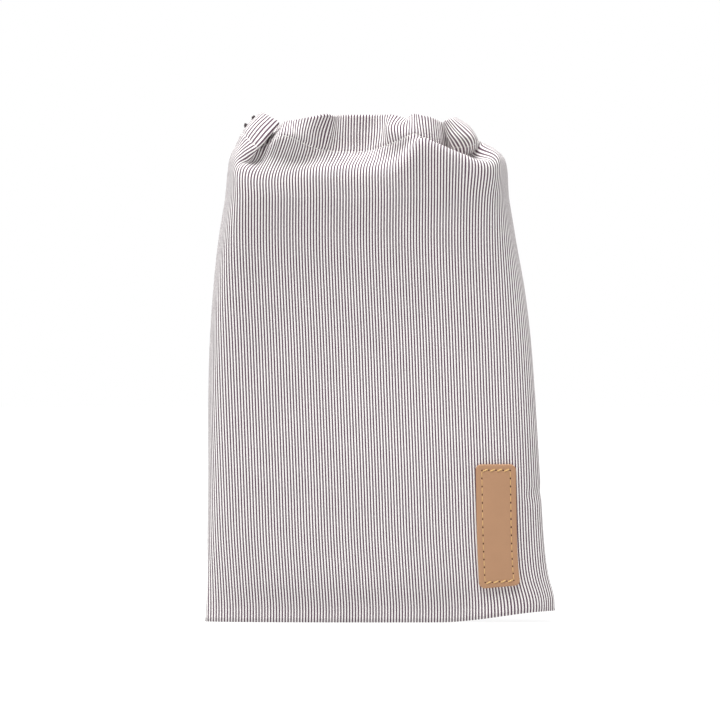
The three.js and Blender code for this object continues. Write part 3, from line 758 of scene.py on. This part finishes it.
# Round thread through points, with closed tips
def tube(points, radius):
    along = unit(np.gradient(points, axis=0))
    first = unit(np.cross(along, THREAD_ASKEW))
    second = np.cross(along, first)
    turns = np.linspace(0, 2 * math.pi, THREAD_SIDES, endpoint=False)[None, :, None]
    radii = np.broadcast_to(radius, len(points))[:, None, None]
    rings = points[:, None] + (first[:, None] * np.cos(turns) + second[:, None] * np.sin(turns)) * radii
    number = np.arange(len(points) * THREAD_SIDES).reshape(len(points), THREAD_SIDES)
    after = np.roll(number, -1, axis=1)
    faces = np.stack([number[:-1], after[:-1], after[1:], number[1:]], -1).reshape(-1, 4).tolist()
    faces += [number[0, ::-1].tolist(), number[-1].tolist()]
    return rings.reshape(-1, 3), faces


# One piece from several bodies of points and faces
def add_bodies(name, bodies, material):
    points, faces = [], []
    for body_points, body_faces in bodies:
        faces += [[corner + len(points) for corner in face] for face in body_faces]
        points += body_points.tolist()
    return add_piece(name, points, faces, material)


# Thread along places on the cloth, thinner towards its tips
def stitch(r, v, height, radius):
    share = np.linspace(-1, 1, STITCH_POINTS)
    left = np.sqrt(np.maximum(STITCH_TIP, 1 - share**STITCH_TAPER))
    return tube(on_cloth(r, v, height), radius * left)


def casing_stitches(material):
    count = round(RING / (CASING_STITCH_LENGTH + CASING_STITCH_GAP))
    run = np.linspace(0, 1, STITCH_POINTS) * CASING_STITCH_LENGTH
    v = np.full(STITCH_POINTS, STITCH_V)
    height = CLOTH_FACE + CASING_THREAD * CASING_PROUD
    bodies = [stitch(k * RING / count + run, v, height, CASING_THREAD) for k in range(count)]
    return add_bodies("casing_stitches", bodies, material)


# Place on the cloth of a spot on the label, from the label's middle
def label_place(across, up):
    return LABEL_R + across + LABEL_LEAN * up / LABEL_HEIGHT, LABEL_V + up


# How far a spot on the label lies inside its edge
def label_inset(across, up):
    x = np.abs(across) - (LABEL_WIDTH / 2 - LABEL_CORNER)
    y = np.abs(up) - (LABEL_HEIGHT / 2 - LABEL_CORNER)
    return LABEL_CORNER - np.hypot(np.maximum(x, 0), np.maximum(y, 0)) - np.minimum(np.maximum(x, y), 0)


def label_leather(material):
    straight = LABEL_HEIGHT / 2 - LABEL_CORNER
    turns = np.linspace(0, math.pi / 2, LABEL_CORNER_POINTS)
    ends = straight + LABEL_CORNER * np.cos(turns)
    sides = np.linspace(-straight, straight, LABEL_SIDE_POINTS)[1:-1]
    up = np.concatenate([-ends, sides, ends[::-1]])
    end_half = LABEL_WIDTH / 2 - LABEL_CORNER + LABEL_CORNER * np.sin(turns)
    half = np.concatenate([end_half, np.full(len(sides), LABEL_WIDTH / 2), end_half[::-1]])
    shares = np.sin(np.linspace(-math.pi / 2, math.pi / 2, LABEL_ACROSS_POINTS))
    across = half[:, None] * shares
    ups = np.broadcast_to(up[:, None], across.shape)
    inset = np.clip(label_inset(across, ups), 0, None)
    edge = LABEL_EDGE * (1 - np.sqrt(1 - (1 - np.clip(inset / LABEL_EDGE, 0, 1)) ** 2))
    groove = LABEL_GROOVE * np.exp(-(((inset - LABEL_STITCH_INSET) / LABEL_GROOVE_WIDTH) ** 2))
    r, v = label_place(across, ups)
    top = on_cloth(r, v, LABEL_TOP - edge - groove)
    under = on_cloth(r, v, LABEL_UNDER)
    points = np.concatenate([top.reshape(-1, 3), under.reshape(-1, 3)])
    return add_piece("label_leather", points, shell_faces(*across.shape), material)


# Spots of the needle holes round the label, in from its edge
def label_hole_spots():
    ups = np.linspace(-LABEL_STITCH_UP, LABEL_STITCH_UP, LABEL_SIDE_HOLES)
    middles = np.linspace(-LABEL_STITCH_X, LABEL_STITCH_X, LABEL_END_HOLES)[1:-1]
    sides = [(across, up) for across in (-LABEL_STITCH_X, LABEL_STITCH_X) for up in ups]
    ends = [(across, up) for up in (-LABEL_STITCH_UP, LABEL_STITCH_UP) for across in middles]
    return sides + ends


# Needle holes, as short plugs in painted shade, near black for the shadow inside each hole, that end just
# above the groove
def label_holes(material):
    turns = np.linspace(0, 2 * math.pi, HOLE_SIDES, endpoint=False)
    top = np.arange(HOLE_SIDES)
    foot = top + HOLE_SIDES
    walls = np.stack([top, foot, np.roll(foot, -1), np.roll(top, -1)], -1)
    faces = walls.tolist() + [top.tolist(), foot[::-1].tolist()]
    bodies = []
    for across, up in label_hole_spots():
        r, v = label_place(across + HOLE_RADIUS * np.cos(turns), up + HOLE_RADIUS * np.sin(turns))
        top_ring = on_cloth(r, v, LABEL_GROOVE_TOP + HOLE_PROUD)
        foot_ring = on_cloth(r, v, LABEL_TOP - HOLE_DEPTH)
        bodies.append((np.concatenate([top_ring, foot_ring]), faces))
    return add_bodies("label_holes", bodies, material)


# Threads of the label: upright ones down its sides, slanted ones along its ends
def label_stitches(material):
    side_pitch = 2 * LABEL_STITCH_UP / (LABEL_SIDE_HOLES - 1)
    end_pitch = 2 * LABEL_STITCH_X / (LABEL_END_HOLES - 1)
    shares = np.linspace(-0.5, 0.5, STITCH_POINTS)
    bodies = []
    for across in (-LABEL_STITCH_X, LABEL_STITCH_X):
        for k in range(LABEL_SIDE_HOLES - 1):
            middle = -LABEL_STITCH_UP + (k + 0.5) * side_pitch
            r, v = label_place(across, middle + shares * LABEL_SIDE_STITCH)
            bodies.append(stitch(r, v, LABEL_GROOVE_TOP + LABEL_SIDE_PROUD, LABEL_SIDE_THREAD))
    for up in (-LABEL_STITCH_UP, LABEL_STITCH_UP):
        for k in range(LABEL_END_HOLES - 1):
            middle = -LABEL_STITCH_X + (k + 0.5) * end_pitch
            r, v = label_place(middle + shares * LABEL_END_STITCH, up + shares * LABEL_END_SLANT)
            bodies.append(stitch(r, v, LABEL_GROOVE_TOP + LABEL_END_PROUD, LABEL_END_THREAD))
    return add_bodies("label_stitches", bodies, material)


# Bend of twisted cord, its plies wound round the line it follows
def drawstring_cord(material):
    q = np.linspace(0, 1, CORD_POINTS)
    r = CORD_TIP_R - (CORD_TIP_R - CORD_BEND_R) * np.sin(math.pi * q)
    v = (CORD_TOP_V + CORD_BOTTOM_V) / 2 + (CORD_TOP_V - CORD_BOTTOM_V) / 2 * np.cos(math.pi * q)
    line = on_cloth(r, v, CORD_CLEAR)
    along = unit(np.gradient(line, axis=0))
    first = unit(np.cross(along, CORD_ASKEW))
    second = np.cross(along, first)
    length = np.concatenate([[0], np.cumsum(np.linalg.norm(np.diff(line, axis=0), axis=1))])
    bodies = []
    for ply in range(CORD_PLIES):
        turn = 2 * math.pi * (length / CORD_TWIST + ply / CORD_PLIES)
        wind = first * np.cos(turn)[:, None] + second * np.sin(turn)[:, None]
        bodies.append(tube(line + wind * CORD_WIND, CORD_RADIUS - CORD_WIND))
    return add_bodies("drawstring_cord", bodies, material)


# Camera
camera_data = bpy.data.cameras.new("camera")
camera_data.sensor_width = SENSOR
camera_data.lens = SENSOR * CAMERA_AWAY / (PICTURE * PIXEL)
camera = bpy.data.objects.new("camera", camera_data)
camera.location = Vector((CAMERA_X, -CAMERA_AWAY, CAMERA_Z)) * MM
camera.rotation_euler = (math.pi / 2, 0, 0)
bpy.context.scene.collection.objects.link(camera)
bpy.context.scene.camera = camera

# Pieces
cotton = striped_cotton()
leather = tan_leather()
white_thread = plain_thread("white_thread", THREAD_WHITE)

front = cloth_panel("front_cloth", FRONT_SPANS, -1, cotton)
back = cloth_panel("back_cloth", BACK_SPANS, 1, cotton)
casing = casing_stitches(white_thread)
label = label_leather(leather)
holes = label_holes(hole_shade_material())
gold = label_stitches(plain_thread("gold_thread", THREAD_GOLD))
cord = drawstring_cord(plain_thread("dark_cord", CORD_DARK))

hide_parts("front_panel")
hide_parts("back_panel")
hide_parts("leather_label")
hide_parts("drawstring_end")
for piece in (front, back, casing, label, holes, gold, cord):
    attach(piece, "root")

# Pale floor that glows a little
floor_corners = np.array([(-1, -1, 0), (1, -1, 0), (1, 1, 0), (-1, 1, 0)]) * FLOOR_REACH
floor = add_piece("floor", floor_corners, [(0, 1, 2, 3)], pale_floor())

# White room: the camera sees it white, and it lights the pouch more softly than that
world = bpy.data.worlds.new("white_room")
world.use_nodes = True
room = world.node_tree.nodes["Background"].inputs
room["Color"].default_value = WHITE
seen = node(world.node_tree, "LightPath").outputs["Is Camera Ray"]
strength = math_node(world.node_tree, "MULTIPLY_ADD", seen, 1 - ROOM_LIGHT, ROOM_LIGHT)
world.node_tree.links.new(strength, room["Strength"])
bpy.context.scene.world = world

# Wide soft light from above
sun = bpy.data.lights.new("softbox", "SUN")
sun.energy = SOFTBOX_LIGHT
sun.angle = math.radians(SOFTBOX_ANGLE)
softbox = bpy.data.objects.new("softbox", sun)
softbox.rotation_euler = [math.radians(angle) for angle in SOFTBOX_TURN]
bpy.context.scene.collection.objects.link(softbox)

# Weak fill from the front right, fading round the middle of the body
fill_data = bpy.data.lights.new("fill", "SPOT")
fill_data.energy = FILL_LIGHT
fill_data.spot_size = 2 * math.atan(FILL_REACH / math.dist(FILL_FROM, (0, 0, FILL_FROM[2])))
fill_data.spot_blend = 1
fill = bpy.data.objects.new("fill", fill_data)
fill.location = Vector(FILL_FROM) * MM
fill.rotation_euler = (-Vector((FILL_FROM[0], FILL_FROM[1], 0))).to_track_quat("-Z", "Y").to_euler()
bpy.context.scene.collection.objects.link(fill)

bpy.context.scene.view_settings.view_transform = "Standard"
